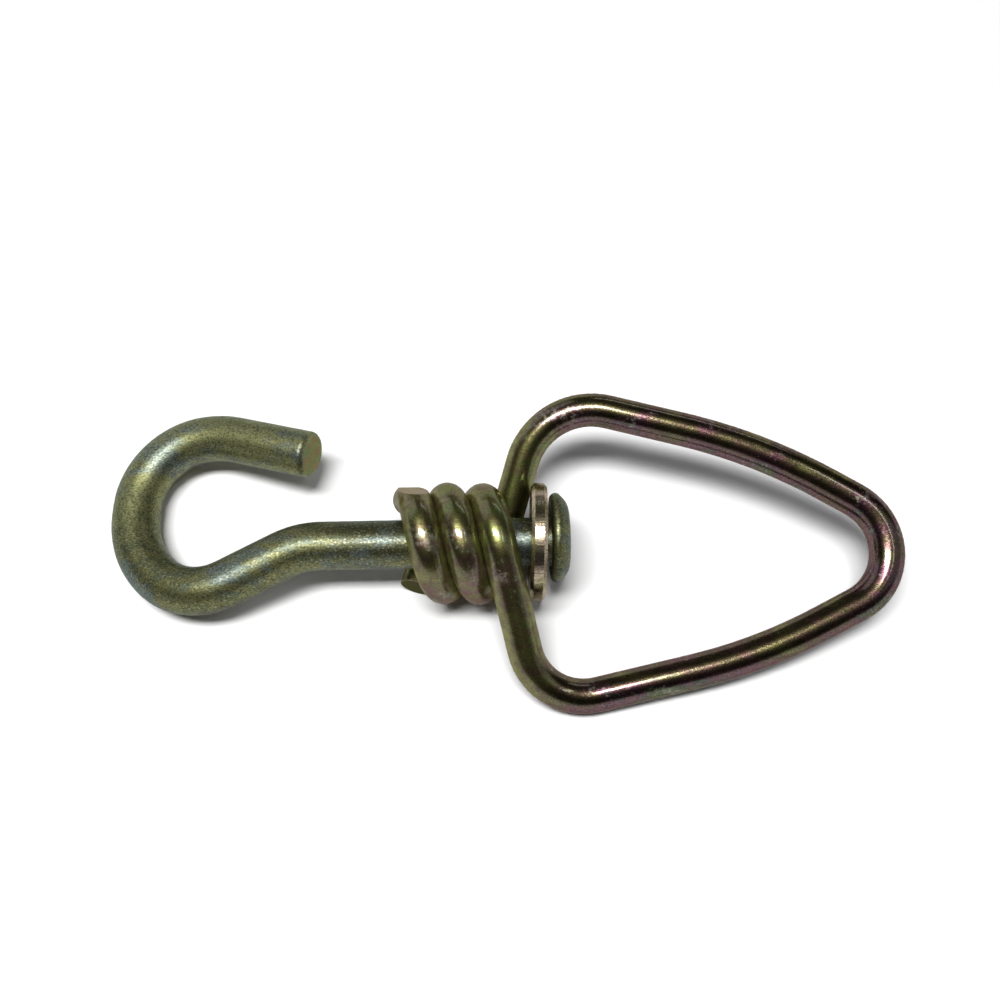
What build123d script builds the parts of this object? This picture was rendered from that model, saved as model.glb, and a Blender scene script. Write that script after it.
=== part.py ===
"""Chain swivel: an open hook that turns in the wound eye of a wire bow.

Three pieces of zinc-plated steel, as they lie on a bench:

* hook    one rod: open eye, S-bend and straight shank, with a head upset on its end
* washer  flat ring, loose on the shank between the head and the bow
* link    one wire: a pear-shaped bow whose two ends are wound side by side round the shank
          as a two-start coil, so that each leg leaves the coil along its tangent

+X runs along the shank towards the nose of the bow and +Z is up. The pieces are modelled about
the shank's axis, and then set down with the origin under the middle of the whole swivel.
"""

import os
from math import acos, asin, atan2, cos, degrees, pi, radians, sin, sqrt, tan

from build123d import *

# ------------------------------------------------------- driving dimensions, mm and degrees
rod_diameter = 7.0  # hook
wire_diameter = 4.9  # bow

# The hook is bent from the shank on: run, then turn on a radius, and so on to the tip.
shank_length = 35.9  # from under the head to the corner of the neck
neck_radius = 13.0
neck_turn = 22.8
throat = 18.5  # corner of the neck to corner of the belly
belly_radius = 10.2
belly_turn = 66.6
belly_run = 0.3
back_radius = 14.8
back_turn = 46.2
back_run = 1.2
crown_radius = 10.3
crown_turn = 90.0
crown_run = 0.3
tip_radius = 14.0
tip_turn = 19.0
tip_run = 13.1
tip_round = 0.8

# The head on the shank's end
head_diameter = 12.9
head_thickness = 2.6
head_face_diameter = 8.5
head_rim = 1.4  # height of the bulging rim
head_rim_inset = 0.55  # how far the rim draws in to the underside
head_shoulder = 0.25  # and to the crown
head_offset = 0.6  # it was struck a little off the rod's line

# The washer
washer_diameter = 17.0
washer_thickness = 2.2
washer_play = 0.4  # radial, on the shank
washer_edge = 0.45
washer_gap = 0.04  # to the bow's legs, at the closest
head_gap = 0.75  # to the head

# The coil
coil_play = 0.34  # radial, on the shank
strand_gap = 0.05  # between neighbouring strands
lower_leg_wound = 473.0  # from where the lower leg leaves the coil, back to its end on top
upper_leg_wound = 393.6  # and from the upper leg, back to the short tail underneath
tail = 4.6
nip_distance = 7.6  # the end on top is nipped flat, at this distance from the axis
nip_angle = 16.5

# The bow: centreline corners, out from the coil's axis and along it from the coil's end
leg_start = 1.6
lower_reach = 23.0
upper_reach = 22.0
lower_corner_radius = 8.6
upper_corner_radius = 10.5
flank_along = 38.6
flank_reach = 15.0
flank_radius = 80.0
nose_along = 56.8
nose_radius = 8.6

lean_share = 0.85  # share of the coil's play that the bow's lean takes up

# ------------------------------------------------------------------------- worked out
rod_radius = rod_diameter / 2
wire_radius = wire_diameter / 2
coil_radius = rod_radius + coil_play + wire_radius
spacing = wire_diameter + strand_gap
lead = 2 * spacing / sqrt(1 - (spacing / (pi * coil_radius)) ** 2)  # two strands to a turn
rise = lead / (2 * pi * coil_radius)  # climb of the wire along the axis
axis_height = coil_radius + wire_radius  # the coil lies on the bench
coil_length = lead * max(lower_leg_wound, upper_leg_wound) / 360
coil_middle = leg_start - coil_length / 2

# The coil can tilt on the shank until its two ends touch it; the bow lies nearly there.
lean = degrees(asin(lean_share * coil_play / (coil_length / 2)))
bow_axis = Vector(cos(radians(lean)), -sin(radians(lean)), 0)

# Both legs pass close by the washer's rim, so the washer leans as the bow does. They set
# where the washer and the head can be.
rim_radius = washer_diameter / 2
rim_run = sqrt(rim_radius**2 - coil_radius**2)
slant = rise * rim_radius / rim_run
washer_along = leg_start + rise * rim_run + wire_radius * sqrt(1 + slant**2) + washer_gap
head_along = washer_along + washer_thickness + head_gap
neck_along = head_along - shank_length


# ------------------------------------------------------------------------------ hook
# In the plane of the eye, u runs away from the coil and v across. Each corner lies where the
# runs on either side of a bend would meet.
bends = [
    (belly_radius, belly_turn),
    (back_radius, back_turn),
    (crown_radius, crown_turn),
    (tip_radius, tip_turn),
]
runs = [belly_run, back_run, crown_run, tip_run]
heading = -neck_turn
corners = [(0.0, 0.0)]
distance = throat
for (radius, turn), run, following in zip(bends, runs, bends[1:] + [(0.0, 0.0)]):
    u, v = corners[-1]
    corners.append((u + distance * cos(radians(heading)), v + distance * sin(radians(heading))))
    heading += turn
    distance = radius * tan(radians(turn) / 2) + run + following[0] * tan(radians(following[1]) / 2)
u, v = corners[-1]
corners.append((u + distance * cos(radians(heading)), v + distance * sin(radians(heading))))

# The eye hangs down from the neck until its back lies on the bench.
eye_reach = max(u for u, v in corners)
droop = degrees(asin((axis_height - rod_radius) / eye_reach))
eye_plane = Plane((neck_along, 0, 0), x_dir=(-cos(radians(droop)), 0, -sin(radians(droop))),
                  z_dir=(sin(radians(droop)), 0, -cos(radians(droop))))
hook_points = [Vector(head_along + head_thickness / 2, 0, 0)]
hook_points += [eye_plane.from_local_coords(Vector(u, v, 0)) for u, v in corners]
hook_radii = [neck_radius] + [radius for radius, turn in bends]

with BuildPart() as hook_as_bent:
    with BuildLine() as rod_line:
        FilletPolyline(*hook_points, radius=hook_radii)
    with BuildSketch(Plane(hook_points[0], z_dir=(-1, 0, 0))):
        Circle(rod_radius)
    sweep(path=rod_line.line)
    tip_face = hook_as_bent.faces().filter_by(GeomType.PLANE).sort_by(Axis.X)[0]
    fillet(tip_face.edges(), tip_round)
    with BuildSketch(Plane.XZ.offset(-head_offset)) as head_profile:
        with BuildLine():
            underside = head_along
            widest = underside + head_rim
            face = underside + head_thickness
            neck = (underside, head_diameter / 2 - head_rim_inset)
            Line((underside, 0), neck)
            rim = ThreePointArc(neck, (underside + head_rim / 2, head_diameter / 2),
                                (widest, head_diameter / 2 - head_shoulder))
            Spline(rim @ 1, (face, head_face_diameter / 2), tangents=(rim % 1, (0.15, -1)))
            Polyline((face, head_face_diameter / 2), (face, 0), (underside, 0))
        make_face()
    revolve(axis=Axis((0, head_offset, 0), (1, 0, 0)))

# ---------------------------------------------------------------------------- washer
with BuildPart() as washer_as_fitted:
    with BuildSketch(Plane((washer_along, 0, 0), z_dir=bow_axis)):
        Circle(washer_diameter / 2)
        Circle(rod_radius + washer_play, mode=Mode.SUBTRACT)
    extrude(amount=washer_thickness)
    chamfer(washer_as_fitted.edges().filter_by(GeomType.CIRCLE), washer_edge)

# ------------------------------------------------------------------------------ link
# Wound standing up: the coil's axis is Z, and the bow lies in the XZ plane, its lower side
# at -X. A leg leaves the coil along its tangent just in time to meet that plane at its corner.
lower_leaves = 90 + degrees(asin(coil_radius / lower_reach))
upper_leaves = 270 + degrees(asin(coil_radius / upper_reach))
lower_corner_along = leg_start + rise * sqrt(lower_reach**2 - coil_radius**2)
upper_corner_along = leg_start + rise * sqrt(upper_reach**2 - coil_radius**2)
nose_centre = nose_along - nose_radius
to_nose = sqrt((nose_centre - flank_along) ** 2 + flank_reach**2)
nose_slope = atan2(flank_reach, nose_centre - flank_along) - asin(nose_radius / to_nose)
apex_along = nose_centre + nose_radius / sin(nose_slope)


def on_coil(angle, along):
    return Vector(coil_radius * cos(radians(angle)), coil_radius * sin(radians(angle)), along)


def towards_end(angle):
    """The wire's direction towards its own end, at this angle round the coil."""
    return -Vector(-sin(radians(angle)), cos(radians(angle)), rise).normalized()


bow_points = [
    on_coil(lower_leaves, leg_start),
    Vector(-lower_reach, 0, lower_corner_along),
    Vector(-flank_reach, 0, flank_along),
    Vector(0, 0, apex_along),
    Vector(flank_reach, 0, flank_along),
    Vector(upper_reach, 0, upper_corner_along),
    on_coil(upper_leaves, leg_start),
]
bow_radii = [lower_corner_radius, flank_radius, nose_radius, flank_radius, upper_corner_radius]
tail_angle = upper_leaves - upper_leg_wound
tail_start = on_coil(tail_angle, leg_start - lead * upper_leg_wound / 360)
tail_end = tail_start + tail * towards_end(tail_angle)

with BuildPart() as link_as_wound:
    with BuildLine() as wire_line:
        FilletPolyline(*bow_points, radius=bow_radii)
        for leaves, wound in [(lower_leaves, lower_leg_wound), (upper_leaves, upper_leg_wound)]:
            height = lead * wound / 360
            strand = Helix(lead, height, coil_radius, center=(0, 0, leg_start - height),
                           mode=Mode.PRIVATE)
            add(strand.rotate(Axis.Z, leaves - wound))
        Line(tail_start, tail_end)
    with BuildSketch(Plane(tail_end, z_dir=towards_end(tail_angle))):
        Circle(wire_radius)
    sweep(path=wire_line.wires()[0])
    # The end on top is nipped flat; the cutter is no wider than that strand.
    nip_outwards = Vector(cos(radians(nip_angle)), sin(radians(nip_angle)), 0)
    nip_wound = lower_leaves - nip_angle + 360
    nip_centre = nip_outwards * nip_distance + Vector(0, 0, leg_start - lead * nip_wound / 360)
    with BuildSketch(Plane(nip_centre, x_dir=(0, 0, 1), z_dir=nip_outwards)):
        Rectangle(wire_diameter * 1.04, coil_radius * 2)
    extrude(amount=wire_diameter, mode=Mode.SUBTRACT)

# The bow is spun until its lower corner rests on the bench, and leans in the play of its coil.
leg = (bow_points[0] - bow_points[1]).normalized()
flank = (bow_points[2] - bow_points[1]).normalized()
half_opening = radians(leg.get_angle(flank)) / 2
bend_centre = bow_points[1] + (leg + flank).normalized() * (lower_corner_radius / sin(half_opening))
bend_normal = leg.cross(flank).normalized()


def corner_height(spin):
    """Height of the lower corner's centreline over the axis, with the bow spun this far."""
    up = Vector(sin(radians(spin)), cos(radians(spin)), 0)
    return bend_centre.dot(up) - lower_corner_radius * sqrt(1 - bend_normal.dot(up) ** 2)


low, high = 0.0, 45.0
for step in range(40):
    spin = (low + high) / 2
    if corner_height(spin) > wire_radius - axis_height:
        low = spin
    else:
        high = spin

level = Vector(sin(radians(lean)), cos(radians(lean)), 0)
bow_side = level * cos(radians(spin)) + Vector(0, 0, sin(radians(spin)))
link_plane = Plane(Vector(coil_middle, 0, 0) - bow_axis * coil_middle, x_dir=bow_side,
                   z_dir=bow_axis)
link_as_lying = link_as_wound.part.moved(link_plane.location)

# --------------------------------------------------------- set down on the bench
whole = Compound([hook_as_bent.part, washer_as_fitted.part, link_as_lying]).bounding_box()
set_down = Location((-whole.center().X, -whole.center().Y, -whole.min.Z))

with BuildPart() as hook:
    add(hook_as_bent.part.moved(set_down))
with BuildPart() as washer:
    add(washer_as_fitted.part.moved(set_down))
with BuildPart() as link:
    add(link_as_lying.moved(set_down))

os.makedirs("parts", exist_ok=True)
hook.part.label = "hook"
export_step(hook.part, "parts/hook.step")
washer.part.label = "washer"
export_step(washer.part, "parts/washer.step")
link.part.label = "link"
export_step(link.part, "parts/link.step")

shaft = set_down.position
print("overall size", [round(x, 2) for x in whole.size])
print("shank axis through", [round(x, 4) for x in shaft])
print("droop of the eye", round(droop, 2), "lean", round(lean, 2), "spin", round(spin, 2))
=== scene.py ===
# %% [markdown]
# # A chain swivel, plated and laid on a bench
# The real thing keeps a chain from twisting: a bent hook whose shank ends in an upset head, a washer on
# that shank, and a bow of thinner wire whose two ends are wound round the shank as one double coil. The
# shapes are already made and packed, so they are loaded as a frame that stays where it is, and what is
# left to do here is what an eye sees: the plating, the sheared ends, the bench and the light.

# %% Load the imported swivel
import math

import bmesh
import bpy
from mathutils import Matrix, Vector


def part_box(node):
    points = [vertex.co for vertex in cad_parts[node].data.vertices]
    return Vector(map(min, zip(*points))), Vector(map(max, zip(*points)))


MM = 0.001

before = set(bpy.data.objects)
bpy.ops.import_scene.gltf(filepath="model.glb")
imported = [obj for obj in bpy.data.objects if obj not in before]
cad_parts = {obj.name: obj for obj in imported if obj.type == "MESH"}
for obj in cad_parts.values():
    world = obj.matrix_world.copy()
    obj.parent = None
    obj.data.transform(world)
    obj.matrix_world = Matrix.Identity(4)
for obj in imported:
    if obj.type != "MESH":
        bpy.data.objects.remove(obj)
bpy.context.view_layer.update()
hook, washer, link = (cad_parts[name] for name in ("hook", "washer", "link"))
for part in (hook, washer, link):
    low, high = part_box(part.name)
    size = ", ".join(f"{side / MM:.1f}" for side in high - low)
    print(f"{part.name}: {size} mm, {len(part.data.polygons)} faces")

# %% [markdown]
# ## The camera
# The swivel is seen from above and a little from the front, as a person at the bench would see it. A
# camera can be turned with angles, or built from the direction in which it looks and the direction of its
# right hand. The second way is used here, because those two are easy to think about, and the third
# direction follows from them. A lens as long as its sensor is wide sees about 53 degrees.

# %% Stand the camera over the bench
STAND_POINT = Vector((-2.414, -58.396, 140.24)) * MM
AIM_POINT = Vector((-0.938, 11.268, -0.03)) * MM
RIGHT_HAND = Vector((0.99978, -0.02119, 0))
LENS_MM = SENSOR_MM = 36
NEAREST, FARTHEST = 0.01, 20
LEFT_SHIFT = 0.01  # how far the picture moves to the left, as a share of its width

forward = (AIM_POINT - STAND_POINT).normalized()
upward = RIGHT_HAND.cross(forward).normalized()
eye = bpy.data.cameras.new("eye")
eye.sensor_width = SENSOR_MM
eye.lens = LENS_MM
eye.shift_x = LEFT_SHIFT
eye.clip_start, eye.clip_end = NEAREST, FARTHEST
camera = bpy.data.objects.new("camera", eye)
bpy.context.scene.collection.objects.link(camera)
turn = Matrix((RIGHT_HAND, upward, -forward)).transposed().to_4x4()
camera.matrix_world = Matrix.Translation(STAND_POINT) @ turn
bpy.context.scene.camera = camera
print(f"camera {(STAND_POINT - AIM_POINT).length / MM:.0f} mm from the bench, "
      f"{math.degrees(math.asin(-forward.z)):.0f} degrees above it")

# %% [markdown]
# ## A short way to write shader maths
# A finish is a tree of nodes, and most of its nodes only add, multiply or compare numbers. Wiring each by
# hand hides the idea, so one small class holds a socket and lets Python's own operators add the Math
# nodes. Colours don't go through them, because a Math node turns a colour grey: they have a Mix node of
# their own.

# %% Wrap a socket so that sums build nodes
class Brew:
    """One socket of a finish's tree. An expression on it adds the nodes that work it out."""

    def __init__(self, tree, socket=None):
        self.tree, self.socket = tree, socket

    def node(self, kind, settings=None, inputs=None, out=0):
        """Adds any node: its settings first, then the values or links of its sockets."""
        made = self.tree.nodes.new(kind)
        for name, value in (settings or {}).items():
            if name == "stops":
                while len(made.color_ramp.elements) < len(value):
                    made.color_ramp.elements.new(0.5)
                for stop, (place, colour) in zip(made.color_ramp.elements, value):
                    stop.position, stop.color = place, colour
            else:
                setattr(made, name, value)
        for name, value in (inputs or {}).items():
            if isinstance(value, Brew):
                self.tree.links.new(value.socket, made.inputs[name])
            else:
                made.inputs[name].default_value = value
        return Brew(self.tree, made.outputs[out])

    def sums(self, operation, *numbers):
        return self.node("ShaderNodeMath", {"operation": operation}, dict(enumerate(numbers)))

    def vector_sums(self, operation, *vectors, out=0):
        return self.node("ShaderNodeVectorMath", {"operation": operation}, dict(enumerate(vectors)), out)

    def __add__(self, other):
        return self.sums("ADD", self, other)

    def __sub__(self, other):
        return self.sums("SUBTRACT", self, other)

    def __rsub__(self, other):
        return self.sums("SUBTRACT", other, self)

    def __mul__(self, other):
        return self.sums("MULTIPLY", self, other)

    __radd__, __rmul__ = __add__, __mul__

    def fade(self, start, end):
        """0 before start, 1 after end, and smooth between them."""
        settings = {"interpolation_type": "SMOOTHSTEP"}
        return self.node("ShaderNodeMapRange", settings, {0: self, 1: start, 2: end, 3: 0.0, 4: 1.0})

    def mix(self, share, first, second):
        """The first colour where share is 0 and the second where it is 1."""
        return self.node("ShaderNodeMix", {"data_type": "RGBA"}, {0: share, 6: first, 7: second}, out=2)


def tint(red, green, blue):
    """A colour as a paint card gives it, 0 to 255, turned into the straight numbers that shaders use."""
    card = (red / 255, green / 255, blue / 255)
    return (*(c / 12.92 if c < 0.04045 else ((c + 0.055) / 1.055) ** 2.4 for c in card), 1)


print("mid olive is", [round(c, 3) for c in tint(120, 116, 80)])

# %% [markdown]
# ## Patterns at their real size
# Each pattern reads the piece's Object coordinates, which are metres here, so a grain of a fifth of a
# millimetre can be asked for by that size. A noise texture's scale is one over the size of its blotches.
# Rod and wire are drawn through a die, which pulls every mark along them, so the helper can also stretch
# a pattern along the shank. Two more helpers tell where on the piece a point lies and which way its
# surface faces.

# %% Ask for a blotch by its size, and for a place by its axis
def blotches(brew, size_mm, seed, detail=2.0, rough=0.5, stretch=1.0):
    """A soft noise around 0.5. Its blotches are size_mm wide, and longer along the shank by stretch."""
    place = brew.node("ShaderNodeTexCoord", out="Object")
    inputs = {"Vector": place, "Location": (seed, seed * 0.7, -seed), "Scale": (1 / stretch, 1, 1)}
    place = brew.node("ShaderNodeMapping", {}, inputs)
    inputs = {"Vector": place, "Scale": 1 / (size_mm * MM), "Detail": detail, "Roughness": rough}
    return brew.node("ShaderNodeTexNoise", {}, inputs, out=0)


def position(brew, axis):
    """How far along that axis a point of the piece lies, in metres."""
    place = brew.node("ShaderNodeTexCoord", out="Object")
    return brew.node("ShaderNodeSeparateXYZ", {}, {0: place}, out=axis)


def facing(brew, axis):
    """1 where the piece's surface faces along that axis as it lies here, -1 where it faces the other way."""
    direction = brew.node("ShaderNodeTexCoord", out="Normal")
    return brew.node("ShaderNodeSeparateXYZ", {}, {0: direction}, out=axis)


print(f"a grain of 0.2 mm needs a noise scale of {1 / (0.2 * MM):.0f}")

# %% [markdown]
# ## Where the metal was cut
# The rod and the wire were sheared to length, and a shear leaves a dull torn face. Those faces are flat,
# and nearly nothing else on a bent rod is, so they can be found rather than typed in: the faces of a mesh
# that share a plane are added up, and the planes with enough metal on them, in one round patch, are kept.

# %% Find the flat faces of a piece
SMALLEST_CUT_MM2 = 9.0
ROUND_SHARE = 0.4  # a face counts as round if it fills this share of the circle about it


def flat_faces(part):
    """Centre, outward direction and reach of each flat round face, in their order along the shank."""
    planes = {}
    for face in part.data.polygons:
        key = (*(round(c, 2) for c in face.normal), round(face.normal.dot(face.center) / MM, 1))
        planes.setdefault(key, []).append(face)
    found = []
    for faces in planes.values():
        area = sum(face.area for face in faces)
        if area < SMALLEST_CUT_MM2 * MM**2:
            continue
        centre = sum((face.center * face.area for face in faces), Vector()) / area
        direction = sum((face.normal * face.area for face in faces), Vector()).normalized()
        corners = (part.data.vertices[i].co for face in faces for i in face.vertices)
        reach = max((corner - centre).length for corner in corners)
        if area > ROUND_SHARE * math.pi * reach**2:
            found.append((centre, direction, reach))
    return sorted(found, key=lambda flat: flat[0].x)


flats = {part.name: flat_faces(part) for part in (hook, link)}
for name, found in flats.items():
    for centre, direction, reach in found:
        print(f"{name}: flat, {2 * reach / MM:.1f} mm across, at", [round(c / MM, 1) for c in centre])

# The hook's tip is the first of its flats, since the other two are on its head. The wire's short tail is the
# lowest of its flats, and the others are where its upper end was nipped.
hook_tip = flats["hook"][0]
wire_tail, *wire_nip = sorted(flats["link"], key=lambda flat: flat[0].z)

# %% [markdown]
# A finish can't ask which face it is on, but it can ask how far a point lies from a cut's plane and from
# its middle. A point that is close in both is on the cut.

# %% Mask a cut
CUT_SKIN_MM = 0.03  # this close to its plane, a point is fully on the cut
CUT_REACH_MM = 0.10  # and from here on it isn't
CUT_MARGIN = 1.1  # and this far out from its middle, as a share of its reach


def on_cut(brew, cuts):
    """1 on those flat faces, 0 elsewhere on the piece."""
    place = brew.node("ShaderNodeTexCoord", out="Object")
    mask = 0.0
    for centre, direction, reach in cuts:
        away = brew.vector_sums("SUBTRACT", place, centre)
        depth = brew.vector_sums("DOT_PRODUCT", away, direction, out="Value")
        distance = brew.vector_sums("LENGTH", away, out="Value")
        near = depth.sums("ABSOLUTE", depth).fade(CUT_REACH_MM * MM, CUT_SKIN_MM * MM)
        mask = near * distance.fade(reach * CUT_MARGIN, reach) + mask
    return mask


print(len([hook_tip, wire_tail, *wire_nip]), "cuts to mask")

# %% [markdown]
# ## A finish's beginning and end
# All three finishes are bare metal under a thin clear film. The metal tints what it mirrors, and the film
# on top mirrors the lamps without a tint, which is why the highlights of plated steel look whitish on a
# coloured piece. The shader's coat is that film: weak, but of a high index, so that it mirrors about as
# much when seen from the side as from above. A metal seen along its surface mirrors the white bench, and
# the edge tint holds that pale rim back. Only the numbers that stay the same all over are set on the
# shader itself.

# %% Start and close a finish
FILM_INDEX = 2.4
BEVEL_SAMPLES = 6
EDGE_TURN = (0.03, 0.25)  # how far rounding turns the surface where wear starts and where it is full


def start_finish(name, coat_roughness, edge_tint):
    """An empty finish: its material, the brew to mix it with, and the shader at its end."""
    finish = bpy.data.materials.new(name)
    finish.use_nodes = True
    tree = finish.node_tree
    tree.nodes.clear()
    shader = tree.nodes.new("ShaderNodeBsdfPrincipled")
    shader.inputs["Metallic"].default_value = 1.0
    shader.inputs["Coat Roughness"].default_value = coat_roughness
    shader.inputs["Coat IOR"].default_value = FILM_INDEX
    shader.inputs["Specular Tint"].default_value = (*edge_tint, 1)
    output = tree.nodes.new("ShaderNodeOutputMaterial")
    tree.links.new(shader.outputs[0], output.inputs["Surface"])
    return finish, Brew(tree), shader


def close_finish(brew, shader, colour, roughness, coat, relief, relief_mm):
    """Plugs a finish's colour, roughness, film and height into its shader."""
    if isinstance(coat, Brew):
        brew.tree.links.new(coat.socket, shader.inputs["Coat Weight"])
    else:
        shader.inputs["Coat Weight"].default_value = coat
    brew.tree.links.new(colour.socket, shader.inputs["Base Color"])
    brew.tree.links.new(roughness.socket, shader.inputs["Roughness"])
    bump = brew.node("ShaderNodeBump", {}, {"Height": relief, "Distance": relief_mm * MM, "Strength": 1.0})
    brew.tree.links.new(bump.socket, shader.inputs["Normal"])


def edge_wear(brew, width_mm):
    """1 on a sharp edge, 0 on a plain face: where rounding the surface would turn it."""
    rounded = brew.node("ShaderNodeBevel", {"samples": BEVEL_SAMPLES}, {"Radius": width_mm * MM})
    plain = brew.node("ShaderNodeNewGeometry", out="Normal")
    same = brew.vector_sums("DOT_PRODUCT", rounded, plain, out="Value")
    return (1.0 - same).fade(*EDGE_TURN)


print("the film mirrors", round(((FILM_INDEX - 1) / (FILM_INDEX + 1)) ** 2, 2), "of the light from above")

# %% [markdown]
# ## The hook's satin plating
# The hook is a thick rod that was cut, bent and then tumbled and zinc plated, with a yellow passivation
# on top. That film is a few ten-thousandths of a millimetre thick, and where it is thinner it turns from
# gold to a grey blue. So the colour is a few tones that meet in blotches of some millimetres, under a
# fine dark speckle from tumbling. Round the eye the colour is made paler, which is painted light, and on
# top of the shank it is made dark, which is painted shade that dims the shank's highlight. Brown patches
# show where the surface faces sideways or down. The end that was sheared shows green and orange, as a
# film does that dried on a rough face.

# %% Plate the hook
HOOK_TONES = {
    "olive": tint(112, 112, 74),
    "green": tint(89, 95, 66),
    # Next, a paler tone painted round the eye as light, and a dark tone painted on top of the shank as
    # shade.
    "eye_painted_light": tint(142, 144, 98),
    "shank_top_painted_shade": tint(64, 66, 47),
    "grey_blue": tint(100, 112, 110),
    "brown_on_sides": tint(86, 70, 55),
    "dark_speck": tint(48, 50, 36),
    "bright_speck": tint(164, 160, 128),
    "torn_green": tint(110, 128, 76),
    "torn_orange": tint(138, 112, 72),
    "worn": tint(140, 140, 122),
}
# Along and across the shank, in metres, for the eye's painted light and the shank's painted shade: where
# each starts to show, and where it shows in full
EYE_SIDE = (0.0, 0.010)
SHANK_SHADE_BEGINS = (-0.030, -0.018)
SHANK_SHADE_ENDS = (0.0075, 0.006)


def plate_hook():
    finish, brew, shader = start_finish("hook_satin_plating", 0.28, (0.58, 0.64, 0.68))
    film = blotches(brew, 8, seed=1.3, detail=3.0, stretch=1.6)
    drift = blotches(brew, 1.6, seed=4.1, detail=4.0, rough=0.6, stretch=2.6)
    speckle = blotches(brew, 0.24, seed=2.2, detail=3.0, rough=0.6, stretch=1.4)
    torn = blotches(brew, 1.3, seed=8.8, detail=3.0)
    up, along, across = facing(brew, "Z"), position(brew, "X"), position(brew, "Y")
    # Painted shade on top of the shank, from the bend to the head, to dim its highlight.
    shank_top_painted_shade = along.fade(*SHANK_SHADE_BEGINS) * along.fade(*SHANK_SHADE_ENDS) * up.fade(0, 0.9)
    thin = (film * 1.2 + drift * 0.8).fade(0.98, 1.25)
    # Brown patches where the surface faces sideways or down.
    brown_on_sides = (1.0 - up).fade(0.5, 1.2) * drift.fade(0.44, 0.62)
    cut = on_cut(brew, [hook_tip])

    tones = HOOK_TONES
    torn_tone = brew.mix(torn.fade(0.4, 0.6), tones["torn_green"], tones["torn_orange"])
    colour = brew.mix(drift.fade(0.38, 0.62), tones["olive"], tones["green"])
    for share, tone in (
        # The eye's side is mixed paler, painted light, and the top of the shank darker, painted shade.
        (across.fade(*EYE_SIDE) * 0.5, tones["eye_painted_light"]),
        (shank_top_painted_shade * 0.8, tones["shank_top_painted_shade"]),
        (thin * 0.8, tones["grey_blue"]),
        (brown_on_sides * 0.6, tones["brown_on_sides"]),
        (speckle.fade(0.48, 0.64) * 0.75, tones["dark_speck"]),
        (speckle.fade(0.43, 0.3) * 0.8, tones["bright_speck"]),
        (cut * 0.7, torn_tone),
        (edge_wear(brew, 0.35) * 0.5, tones["worn"]),
    ):
        colour = brew.mix(share, colour, tone)
    roughness = 0.35 + drift * 0.08 + speckle * 0.16 + cut * 0.1
    coat = 0.06 - cut * 0.05
    close_finish(brew, shader, colour, roughness, coat, relief=speckle * 0.8 + drift * 0.8, relief_mm=0.03)
    return finish


hook_plating = plate_hook()
print(hook_plating.name, "has", len(hook_plating.node_tree.nodes), "nodes")

# %% [markdown]
# ## The bow's bright wire
# The bow is drawn wire, which a die leaves smooth, so its plating is shinier than the hook's and its film
# shows stronger colours: olive and leaf green, rose and violet. A film runs through its colours in a
# fixed order as it thickens, so one number, the thickness, is mixed from noises and looked up in a colour
# ramp. It grows towards the nose and on the lower flank. It is also pushed along the ramp on the sides,
# underneath and on faces turned to the front, and back on faces turned to the back: that is a painted
# sheen, for the way a film's colour shifts when it is seen at a slant. Between the coil's strands the
# colour is made a paler, dull olive, which is painted light for the light the strands throw on each
# other, and the roughness there is raised. The tail's sheared end is coloured dark, which is painted
# shade. Grey scuffs are where the bow has rubbed on its chain.

# %% Plate the bow
FILM_COLOURS = [
    (0.1, tint(92, 106, 54)),
    (0.3, tint(104, 97, 61)),
    (0.48, tint(78, 69, 49)),
    (0.62, tint(92, 70, 61)),
    (0.76, tint(94, 59, 71)),
    (0.88, tint(72, 65, 62)),
    (1.0, tint(74, 82, 50)),
]
BOW_TONES = {
    "dark_speck": tint(33, 30, 22),
    "bright_speck": tint(124, 116, 98),
    "scuff": tint(150, 150, 140),
    # Painted light between the coil's strands, in two tones.
    "bounce_lit_olive": tint(132, 136, 78),
    "bounce_lit_brown": tint(116, 106, 70),
    "torn_bright": tint(176, 166, 142),
    "torn_dark": tint(136, 126, 104),
    # Painted shade for the tail's sheared end.
    "tail_end": tint(66, 72, 42),
    "worn": tint(196, 190, 172),
}
# Along and across the shank, in metres
NOSE_FILM = (0.0, 0.024)
LOWER_FLANK = (0.004, -0.010)
NEAR_COIL = (0.009, 0.003)


def film_and_sheen(brew, film, drift, along):
    """The bow's film thickness, 0 to 1 across the colour ramp, with a painted sheen added by facing."""
    # Painted sheen: the ramp is shifted by which way the surface faces, up, sideways, front or back.
    painted_sheen = (1.0 - facing(brew, "Z")) * 0.14 - facing(brew, "Y") * 0.16
    places = along.fade(*NOSE_FILM) * 0.26 + position(brew, "Y").fade(*LOWER_FLANK) * 0.12
    return film * 1.4 + drift * 0.8 + painted_sheen + places - 0.87


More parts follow.
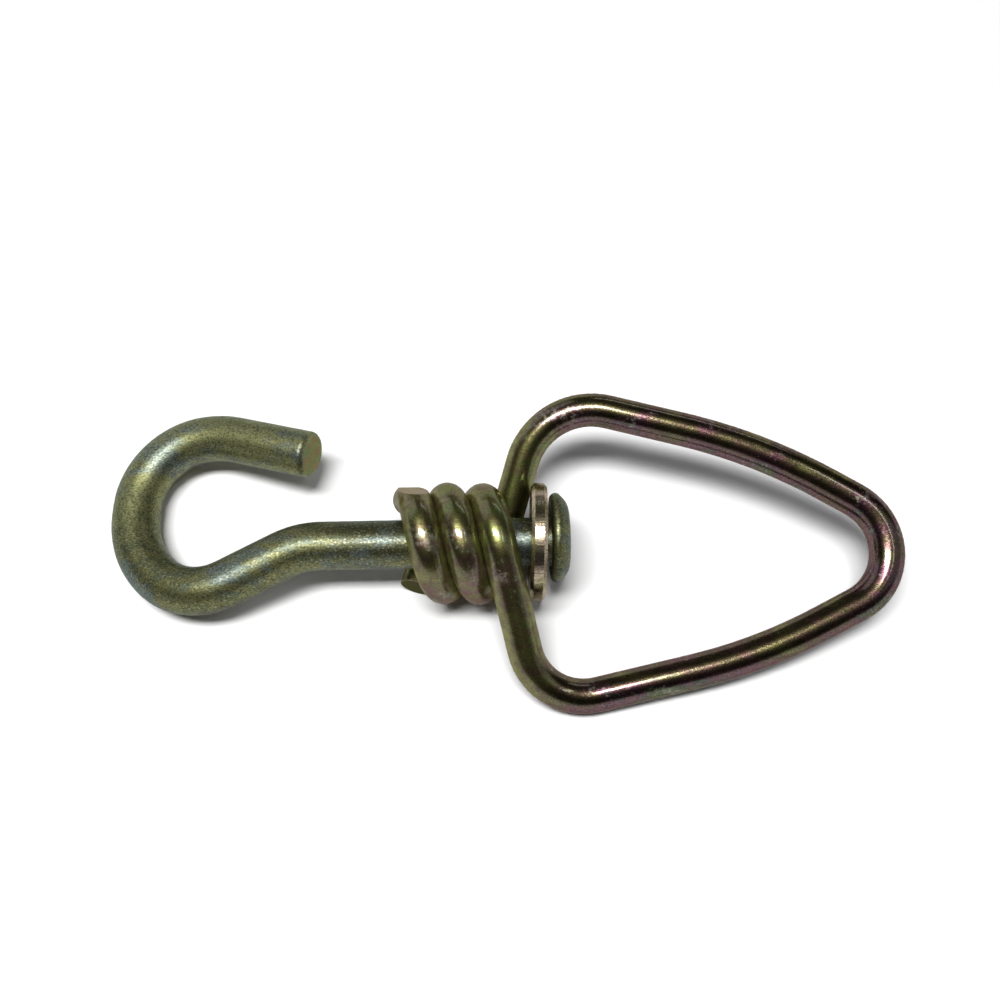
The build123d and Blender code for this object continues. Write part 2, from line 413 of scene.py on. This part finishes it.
def plate_bow():
    finish, brew, shader = start_finish("bow_bright_plating", 0.12, (0.42, 0.34, 0.3))
    film = blotches(brew, 5, seed=7.7, stretch=1.8)
    drift = blotches(brew, 1.3, seed=3.4, detail=3.0, rough=0.6, stretch=2.0)
    speckle = blotches(brew, 0.2, seed=5.2, detail=3.0, rough=0.6, stretch=1.5)
    scratches = blotches(brew, 0.7, seed=6.1, detail=4.0, rough=0.7)
    torn = blotches(brew, 0.35, seed=8.8, detail=3.0, rough=0.6, stretch=6.0)
    along, sideways = position(brew, "X"), facing(brew, "X")
    scuffed = (film * 0.5 + scratches * 0.5).fade(0.56, 0.64)
    # Painted light: a paler olive on the coil's strand sides and, more weakly, all round the coil.
    painted_bounce_light = ((sideways * sideways).fade(0.25, 0.75) * 0.75 + 0.25) * along.fade(*NEAR_COIL)
    # Painted shade: the tail's sheared end, which lies lowest, is marked to be coloured dark.
    tail_end = on_cut(brew, [wire_tail])
    cut = tail_end + on_cut(brew, wire_nip)

    tones = BOW_TONES
    bounce_lit_tone = brew.mix(drift.fade(0.42, 0.58), tones["bounce_lit_olive"], tones["bounce_lit_brown"])
    torn_tone = brew.mix(torn.fade(0.34, 0.66), tones["torn_bright"], tones["torn_dark"])
    torn_tone = brew.mix(tail_end, torn_tone, tones["tail_end"])
    ramp_place = film_and_sheen(brew, film, drift, along)
    colour = brew.node("ShaderNodeValToRGB", {"stops": FILM_COLOURS}, {0: ramp_place})
    for share, tone in (
        (speckle.fade(0.47, 0.64) * 0.75, tones["dark_speck"]),
        (speckle.fade(0.42, 0.3) * 0.4, tones["bright_speck"]),
        (scuffed * 0.5, tones["scuff"]),
        (painted_bounce_light * 0.85, bounce_lit_tone),
        (cut * 0.9, torn_tone),
        (edge_wear(brew, 0.3) * 0.6, tones["worn"]),
    ):
        colour = brew.mix(share, colour, tone)
    roughness = 0.15 + drift * 0.1 + speckle * 0.14 + scuffed * 0.15 + cut * 0.2 + painted_bounce_light * 0.3
    coat = 0.2 - cut * 0.16
    relief = speckle * 0.5 + drift * 0.8 + torn * cut
    close_finish(brew, shader, colour, roughness, coat, relief, relief_mm=0.022)
    return finish


bow_plating = plate_bow()
print(bow_plating.name, "has", len(bow_plating.node_tree.nodes), "nodes")

# %% [markdown]
# ## The washer's edge
# The washer is punched from strip, which leaves a bright band round its edge with fine marks across the
# thickness, under a film that is more pink than the hook's. The marks are a noise stretched along the
# shank, since that is the way the punch went through.

# %% Plate the washer
WASHER_TONES = {
    "pink": tint(184, 167, 145),
    "olive": tint(152, 146, 108),
    "punch_mark": tint(104, 90, 77),
    "dark_speck": tint(54, 48, 38),
    "worn": tint(196, 182, 168),
}


def plate_washer():
    finish, brew, shader = start_finish("washer_plating", 0.15, (0.6, 0.52, 0.46))
    film = blotches(brew, 3, seed=9.1, detail=3.0)
    speckle = blotches(brew, 0.2, seed=6.6, detail=3.0, rough=0.6)
    marks = blotches(brew, 0.3, seed=2.9, stretch=8.0)

    tones = WASHER_TONES
    colour = brew.mix(film.fade(0.38, 0.6), tones["pink"], tones["olive"])
    for share, tone in (
        (marks.fade(0.45, 0.65) * 0.5, tones["punch_mark"]),
        (speckle.fade(0.46, 0.64) * 0.7, tones["dark_speck"]),
        (edge_wear(brew, 0.25) * 0.5, tones["worn"]),
    ):
        colour = brew.mix(share, colour, tone)
    roughness = 0.14 + film * 0.1 + speckle * 0.14
    close_finish(brew, shader, colour, roughness, coat=0.15, relief=speckle * 0.5 + marks, relief_mm=0.02)
    return finish


washer_plating = plate_washer()
for part, finish in ((hook, hook_plating), (link, bow_plating), (washer, washer_plating)):
    for place in part.material_slots:
        place.material = finish
    print(part.name, "wears", finish.name)

# %% [markdown]
# ## The bench
# The swivel lies on a plain white bench. Its white is its own colour, and the lamps are just strong
# enough for it to reach white in the picture, so the swivel's shadow stays on it. The bench is only
# stage: it doesn't belong to the swivel.

# %% Lay the bench
BENCH_RADIUS = 0.2
BENCH_SEGMENTS = 128
BENCH_WHITE = (0.88, 0.88, 0.88, 1)


def lay_bench():
    shape = bmesh.new()
    bmesh.ops.create_circle(shape, cap_ends=True, segments=BENCH_SEGMENTS, radius=BENCH_RADIUS)
    mesh = bpy.data.meshes.new("bench")
    shape.to_mesh(mesh)
    shape.free()
    bench = bpy.data.objects.new("bench", mesh)
    bpy.context.scene.collection.objects.link(bench)
    finish = bpy.data.materials.new("white_bench")
    finish.use_nodes = True
    tree = finish.node_tree
    tree.nodes.clear()
    white = Brew(tree).node("ShaderNodeBsdfDiffuse", {}, {"Color": BENCH_WHITE})
    output = tree.nodes.new("ShaderNodeOutputMaterial")
    tree.links.new(white.socket, output.inputs["Surface"])
    mesh.materials.append(finish)
    return bench


bench = lay_bench()
print("bench", [round(side, 2) for side in bench.dimensions], "m")

# %% [markdown]
# ## The lamps
# One wide soft box hangs high up, a little to the left and in front. It is long across the bench and
# narrow the other way, so it draws the long pale streaks along rod and wire. Two narrow strips, one at
# the right and one at the back, add sharper streaks, and two weak windows keep the sides from going
# black.

# %% Hang the lamps
WHITE, DAYLIGHT = (1, 1, 1), (0.95, 0.95, 1)
# name, direction from the swivel, distance, width, height (all in metres), watts, colour
LAMPS = [
    ("soft_box", (-0.16, -0.09, 1), 0.7, 0.4, 0.14, 6.1, WHITE),
    ("right_strip", (0.5, -0.06, 1), 0.9, 0.05, 0.3, 0.5, WHITE),
    ("left_window", (-0.6, 0.62, 0.5), 0.9, 0.8, 0.5, 1.1, DAYLIGHT),
    ("rear_strip", (0.35, 0.8, 0.5), 0.9, 0.5, 0.05, 0.35, DAYLIGHT),
    ("right_window", (0.8, -0.1, 0.5), 0.9, 0.8, 0.5, 0.5, DAYLIGHT),
]


def hang_lamp(name, direction, distance, width, height, watts, colour):
    """A soft rectangular lamp that looks at the origin, with its width along the bench's X."""
    direction = Vector(direction).normalized()
    across = (Vector((1, 0, 0)) - direction * direction.x).normalized()
    axes = Matrix((across, direction.cross(across), direction)).transposed()
    data = bpy.data.lights.new(name, "AREA")
    data.shape = "RECTANGLE"
    data.size, data.size_y = width, height
    data.energy, data.color = watts, colour
    lamp = bpy.data.objects.new(name, data)
    bpy.context.scene.collection.objects.link(lamp)
    lamp.location = direction * distance
    lamp.rotation_mode = "QUATERNION"
    lamp.rotation_quaternion = axes.to_quaternion()


for name, direction, distance, width, height, watts, colour in LAMPS:
    hang_lamp(name, direction, distance, width, height, watts, colour)
    print(f"{name}: {100 * width:.0f} x {100 * height:.0f} cm, {100 * distance:.0f} cm away, {watts} W")

# %% [markdown]
# ## The backdrop
# Round the bench hangs a white backdrop, which is the world's own colour. The camera sees it past the
# bench's edge, and the metal mirrors it up to some way above the horizon. It gives the bench nearly no
# light, which would wash the shadow out. A ray that looks for the world carries its direction in the
# Generated coordinate, so the height above the horizon is that direction's Z.

# %% Hang the backdrop and dim the room
BACKDROP_FULL, BACKDROP_ENDS = 0.1, 0.3  # height above the horizon, as the sine of the angle
ROOM_GLOW = 0.01  # what is left of the room's light for the bench's own shading

room = bpy.data.worlds.new("room")
room.use_nodes = True
background = room.node_tree.nodes["Background"]
background.inputs["Color"].default_value = (1, 1, 1, 1)
brew = Brew(room.node_tree)
to_camera, to_metal, to_glass = (
    brew.node("ShaderNodeLightPath", out=f"Is {ray} Ray") for ray in ("Camera", "Glossy", "Transmission")
)
looking = brew.node("ShaderNodeTexCoord", out="Generated")
rise = brew.node("ShaderNodeSeparateXYZ", {}, {0: looking}, out="Z")
backdrop = rise.fade(BACKDROP_ENDS, BACKDROP_FULL)
strength = (to_camera + (to_metal + to_glass) * backdrop) * (1 - ROOM_GLOW) + ROOM_GLOW
room.node_tree.links.new(strength.socket, background.inputs["Strength"])
bpy.context.scene.world = room
bpy.context.scene.view_settings.view_transform = "Standard"
print(f"the backdrop is white up to {math.degrees(math.asin(BACKDROP_FULL)):.0f} degrees above the horizon "
      f"and gone at {math.degrees(math.asin(BACKDROP_ENDS)):.0f}")
